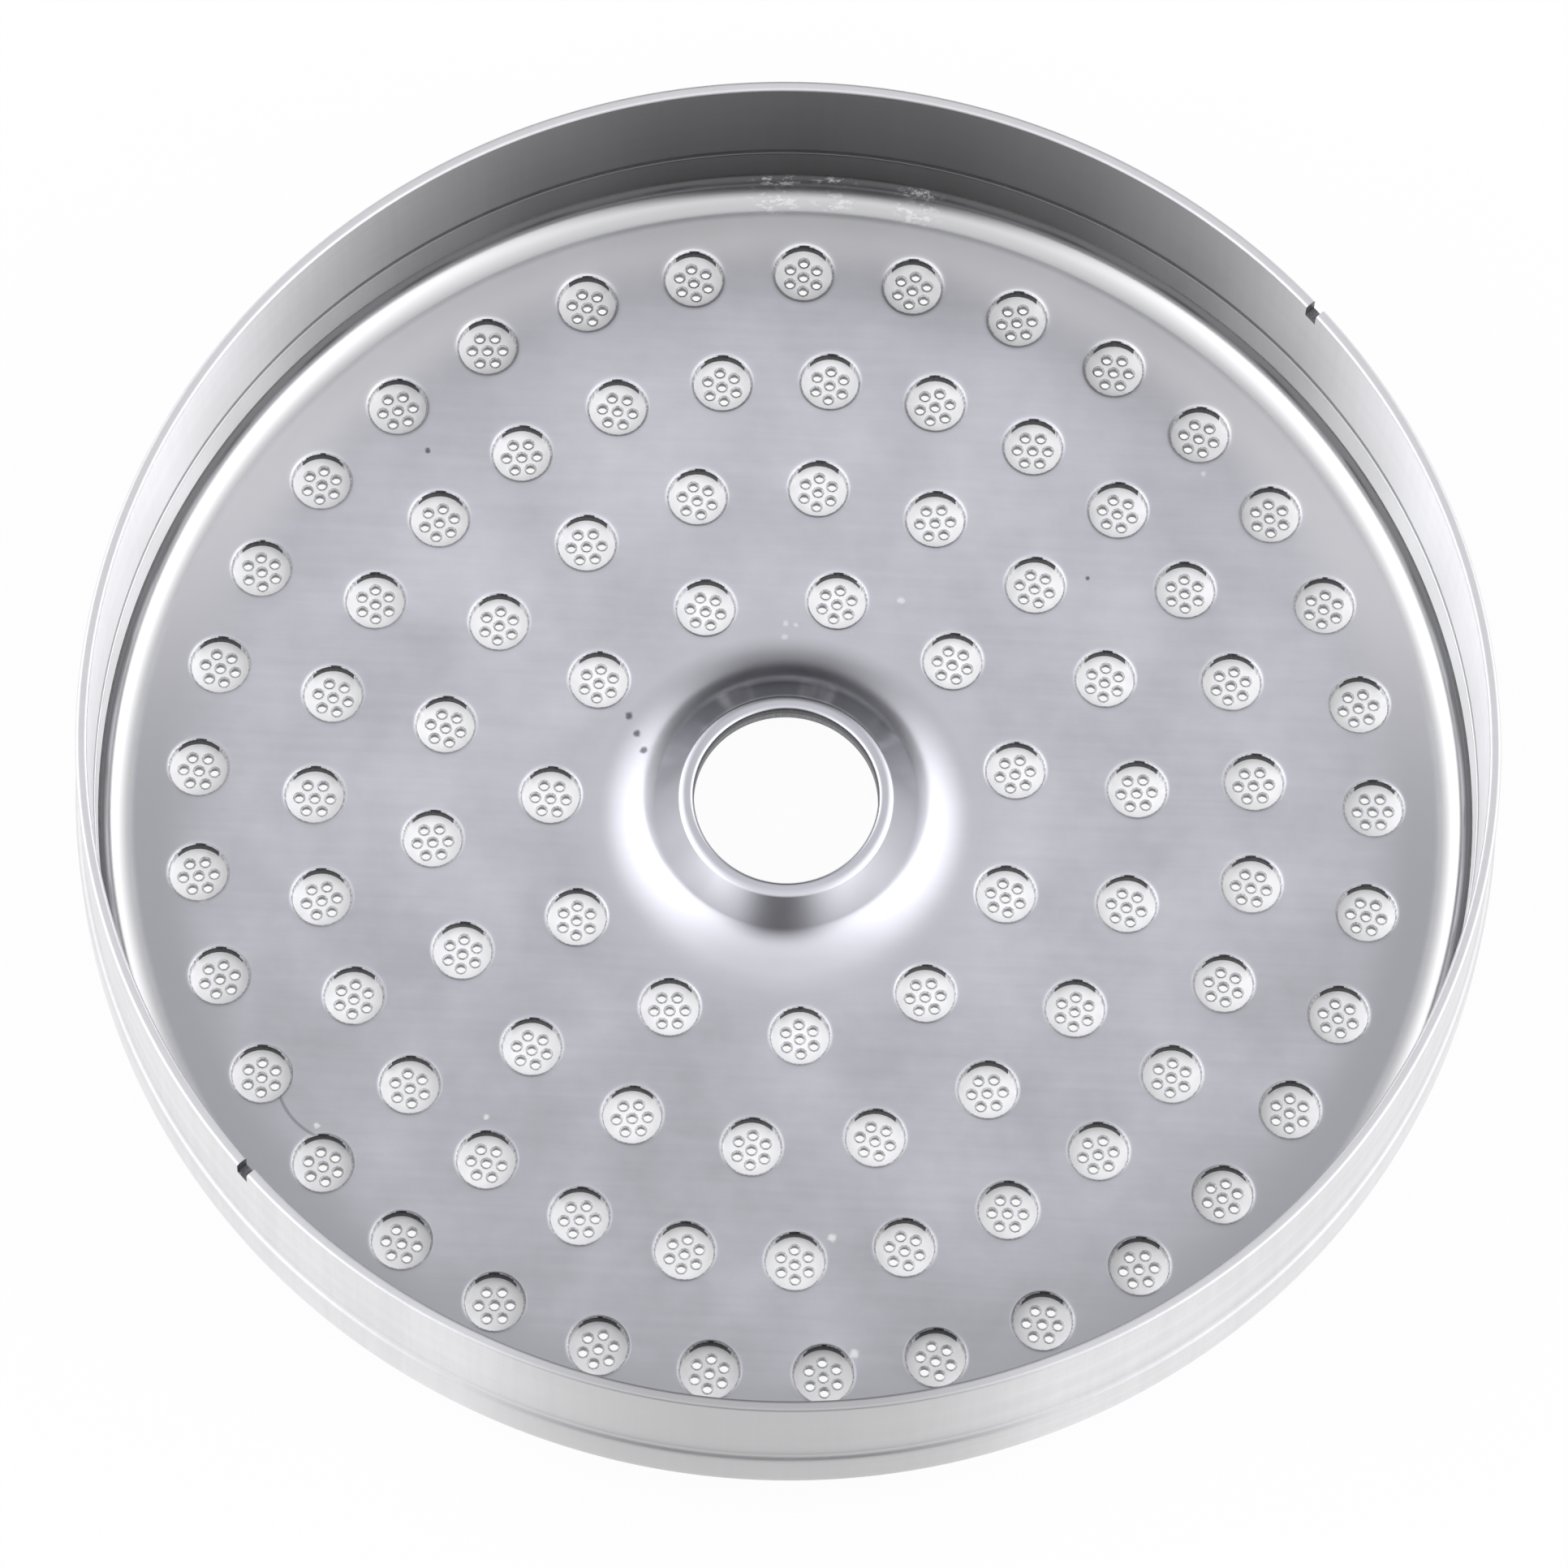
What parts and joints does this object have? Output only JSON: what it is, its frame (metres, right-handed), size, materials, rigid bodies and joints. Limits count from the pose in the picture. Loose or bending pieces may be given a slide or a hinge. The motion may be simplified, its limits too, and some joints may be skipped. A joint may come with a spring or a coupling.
{
  "type": "espresso shower screen",
  "caption": "Shallow drawn steel cup with a perforated inner dish, a finely pierced floor and a raised screw seat; it spreads the brewing water over the coffee.",
  "frame": {"origin": "centre of the cup's underside", "axes": "+Z along the cup's axis, out of its open side; +Y away from the picture's camera"},
  "size_m": [0.06, 0.06, 0.0107],
  "materials": {
    "cup_steel": "bright drawn steel",
    "dish_steel": "satin drawn steel"
  },
  "bodies": {
    "root": {"outer_cup": "cup_steel", "perforated_dish": "dish_steel"}
  },
  "joints": []
}
